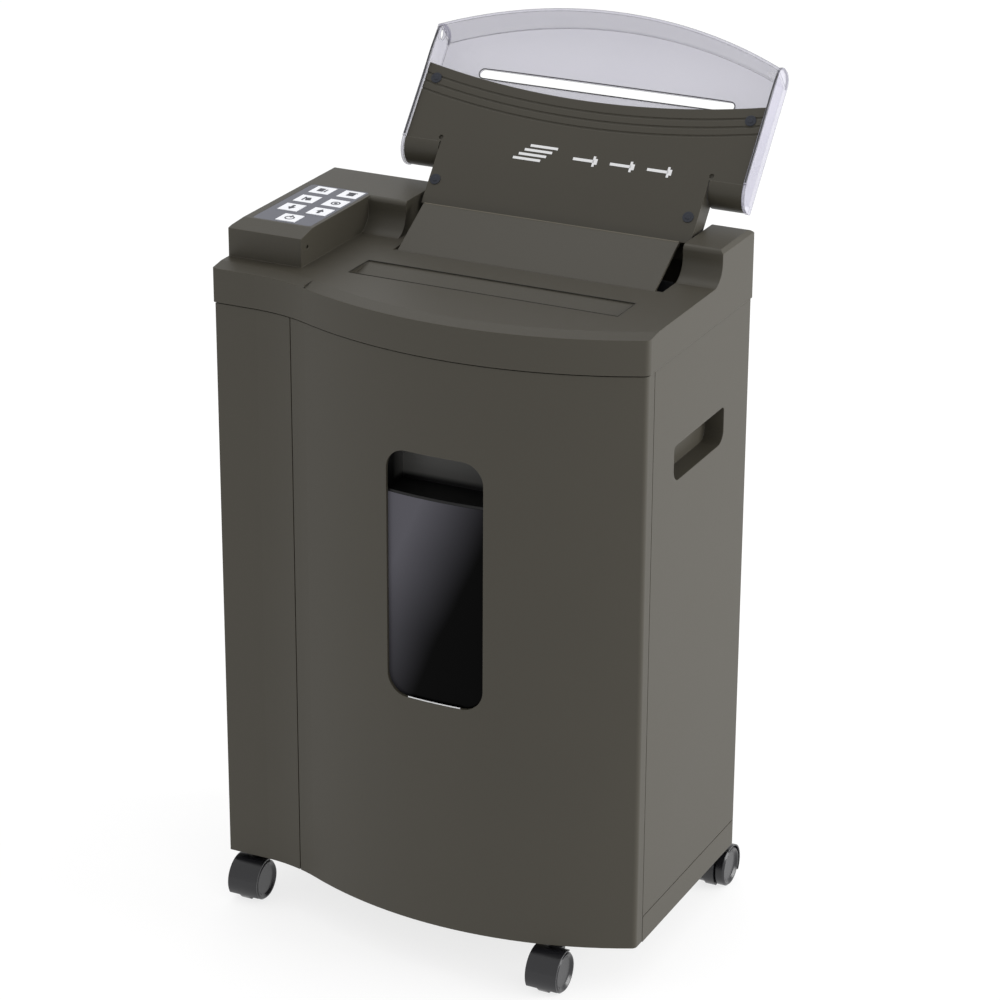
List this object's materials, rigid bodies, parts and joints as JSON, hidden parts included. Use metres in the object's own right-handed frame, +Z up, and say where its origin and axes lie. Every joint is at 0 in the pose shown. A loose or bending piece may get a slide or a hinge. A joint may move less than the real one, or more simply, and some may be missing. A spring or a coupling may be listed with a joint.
{
  "type": "paper shredder",
  "caption": "Tall office paper shredder with auto-feed head, swing-up clear lid, control block, pull-out bin with window and swivel casters.",
  "frame": {"origin": "on the floor under the middle of the machine's box with the lid open", "axes": "+Z up, +Y towards the back, +X to the right of a person facing the front"},
  "size_m": [0.372, 0.3308, 0.7181],
  "materials": {
    "olive_plastic": "fine-grained moulded plastic, dark olive grey",
    "panel_film": "printed slate film",
    "white_plastic": "white printed key",
    "clear_plastic": "lightly tinted clear plastic",
    "smoked_plastic": "smoked glossy pane",
    "black_plastic": "black moulded plastic",
    "grey_plastic": "mid-grey moulded plastic",
    "soft_rubber": "dark rubber",
    "nylon": "natural nylon",
    "sheet_steel": "zinc-plated sheet steel",
    "ground_steel": "ground steel",
    "motor_steel": "motor can",
    "bronze": "sintered bronze",
    "board": "circuit board"
  },
  "bodies": {
    "machine": {"head_cover": "olive_plastic", "control_overlay": "panel_film", "indicator_lenses": "white_plastic", "lid_pins": "ground_steel", "feed_guide": "black_plastic", "gear_axles": "ground_steel", "left_side_plate": "sheet_steel", "right_side_plate": "sheet_steel", "shaft_bushes": "bronze", "tie_rods": "sheet_steel", "tie_rod_nuts": "sheet_steel", "front_stripper": "black_plastic", "rear_stripper": "black_plastic", "motor": "motor_steel", "chassis_plate": "sheet_steel", "machine_screws": "sheet_steel", "control_board": "board", "switch_housing": "black_plastic", "cord_gland": "black_plastic", "bin_switch": "black_plastic", "body_shell": "olive_plastic", "base_plate": "olive_plastic"},
    "lid": {"lid_cover": "clear_plastic", "lid_liner": "olive_plastic", "lid_bumpers": "soft_rubber"},
    "ramp": {"feed_ramp": "olive_plastic"},
    "power_button": {"power_key": "white_plastic"},
    "forward_button": {"forward_key": "white_plastic"},
    "reverse_button": {"reverse_key": "white_plastic"},
    "rocker": {"switch_rocker": "black_plastic"},
    "bin": {"bin_front": "olive_plastic", "bin_tub": "black_plastic", "window_pane": "smoked_plastic", "grip_pocket": "grey_plastic"},
    "rear_cutter": {"rear_cutter_shaft": "ground_steel", "rear_cutter_discs": "ground_steel", "rear_cutter_gear": "ground_steel", "drive_wheel": "nylon", "takeoff_gear": "nylon"},
    "front_cutter": {"front_cutter_shaft": "ground_steel", "front_cutter_discs": "ground_steel", "front_cutter_gear": "ground_steel"},
    "compound": {"compound_gear": "nylon"},
    "pinion": {"motor_pinion": "ground_steel"},
    "transfer": {"transfer_gear": "nylon"},
    "pickup": {"pickup_shaft": "ground_steel", "pickup_rollers": "soft_rubber", "pickup_gear": "nylon"},
    "front_left_caster": {"front_left_fork": "black_plastic", "front_left_axle": "ground_steel"},
    "front_left_roll": {"front_left_wheels": "black_plastic"},
    "front_right_caster": {"front_right_fork": "black_plastic", "front_right_axle": "ground_steel"},
    "front_right_roll": {"front_right_wheels": "black_plastic"},
    "rear_left_caster": {"rear_left_fork": "black_plastic", "rear_left_axle": "ground_steel"},
    "rear_left_roll": {"rear_left_wheels": "black_plastic"},
    "rear_right_caster": {"rear_right_fork": "black_plastic", "rear_right_axle": "ground_steel"},
    "rear_right_roll": {"rear_right_wheels": "black_plastic"}
  },
  "joints": [
    {"name": "lid_hinge", "type": "hinge", "parent": "machine", "child": "lid", "pos_m": [0.03135, 0.04356, 0.57], "axis": [1, 0, 0], "range_deg": [0, 130]},
    {"name": "ramp_pivot", "type": "hinge", "parent": "machine", "child": "ramp", "pos_m": [0.03, -0.02394, 0.5502], "axis": [1, 0, 0], "range_deg": [-30, 0]},
    {"name": "rocker_tilt", "type": "hinge", "parent": "machine", "child": "rocker", "pos_m": [0.12, 0.06836, 0.487], "axis": [1, 0, 0], "range_deg": [0, 18]},
    {"name": "bin_slide", "type": "slide", "parent": "machine", "child": "bin", "axis": [0, -1, 0], "range_m": [0, 0.2]},
    {"name": "power_press", "type": "slide", "parent": "machine", "child": "power_button", "axis": [0, 0, -1], "range_m": [0, 0.0008], "stiffness_N_per_m": 600, "springref_m": -0.001},
    {"name": "forward_press", "type": "slide", "parent": "machine", "child": "forward_button", "axis": [0, 0, -1], "range_m": [0, 0.0008], "stiffness_N_per_m": 600, "springref_m": -0.001},
    {"name": "reverse_press", "type": "slide", "parent": "machine", "child": "reverse_button", "axis": [0, 0, -1], "range_m": [0, 0.0008], "stiffness_N_per_m": 600, "springref_m": -0.001},
    {"name": "rear_cutter_spin", "type": "hinge", "parent": "machine", "child": "rear_cutter", "pos_m": [0, -0.05744, 0.485], "axis": [1, 0, 0], "continuous": true},
    {"name": "front_cutter_spin", "type": "hinge", "parent": "machine", "child": "front_cutter", "pos_m": [0, -0.09944, 0.485], "axis": [1, 0, 0], "continuous": true},
    {"name": "compound_spin", "type": "hinge", "parent": "machine", "child": "compound", "pos_m": [0, -0.00426, 0.49438], "axis": [1, 0, 0], "continuous": true},
    {"name": "pinion_spin", "type": "hinge", "parent": "machine", "child": "pinion", "pos_m": [0, 0.02791, 0.46738], "axis": [1, 0, 0], "continuous": true},
    {"name": "transfer_spin", "type": "hinge", "parent": "machine", "child": "transfer", "pos_m": [0, -0.02782, 0.49954], "axis": [1, 0, 0], "continuous": true},
    {"name": "pickup_spin", "type": "hinge", "parent": "machine", "child": "pickup", "pos_m": [0, 0.0018, 0.51409], "axis": [1, 0, 0], "continuous": true},
    {"name": "front_left_swivel", "type": "hinge", "parent": "machine", "child": "front_left_caster", "pos_m": [-0.167, -0.10594, 0.0405], "axis": [0, 0, 1], "continuous": true},
    {"name": "front_left_rolling", "type": "hinge", "parent": "front_left_caster", "child": "front_left_roll", "pos_m": [-0.167, -0.11894, 0.017], "axis": [1, 0, 0], "continuous": true},
    {"name": "front_right_swivel", "type": "hinge", "parent": "machine", "child": "front_right_caster", "pos_m": [0.1205, -0.13344, 0.0405], "axis": [0, 0, 1], "continuous": true},
    {"name": "front_right_rolling", "type": "hinge", "parent": "front_right_caster", "child": "front_right_roll", "pos_m": [0.1205, -0.14644, 0.017], "axis": [1, 0, 0], "continuous": true},
    {"name": "rear_left_swivel", "type": "hinge", "parent": "machine", "child": "rear_left_caster", "pos_m": [-0.17, 0.06356, 0.0405], "axis": [0, 0, 1], "continuous": true},
    {"name": "rear_left_rolling", "type": "hinge", "parent": "rear_left_caster", "child": "rear_left_roll", "pos_m": [-0.17, 0.07656, 0.017], "axis": [1, 0, 0], "continuous": true},
    {"name": "rear_right_swivel", "type": "hinge", "parent": "machine", "child": "rear_right_caster", "pos_m": [0.17, 0.06356, 0.0405], "axis": [0, 0, 1], "continuous": true},
    {"name": "rear_right_rolling", "type": "hinge", "parent": "rear_right_caster", "child": "rear_right_roll", "pos_m": [0.17, 0.07656, 0.017], "axis": [1, 0, 0], "continuous": true}
  ],
  "couplings": [
    {"joint": "ramp_pivot", "follows": "lid_hinge", "ratio": -0.23077},
    {"joint": "front_cutter_spin", "follows": "rear_cutter_spin", "ratio": -1},
    {"joint": "compound_spin", "follows": "rear_cutter_spin", "ratio": -2.8571},
    {"joint": "pinion_spin", "follows": "rear_cutter_spin", "ratio": 10.476},
    {"joint": "transfer_spin", "follows": "rear_cutter_spin", "ratio": -0.83333},
    {"joint": "pickup_spin", "follows": "rear_cutter_spin", "ratio": 1}
  ]
}
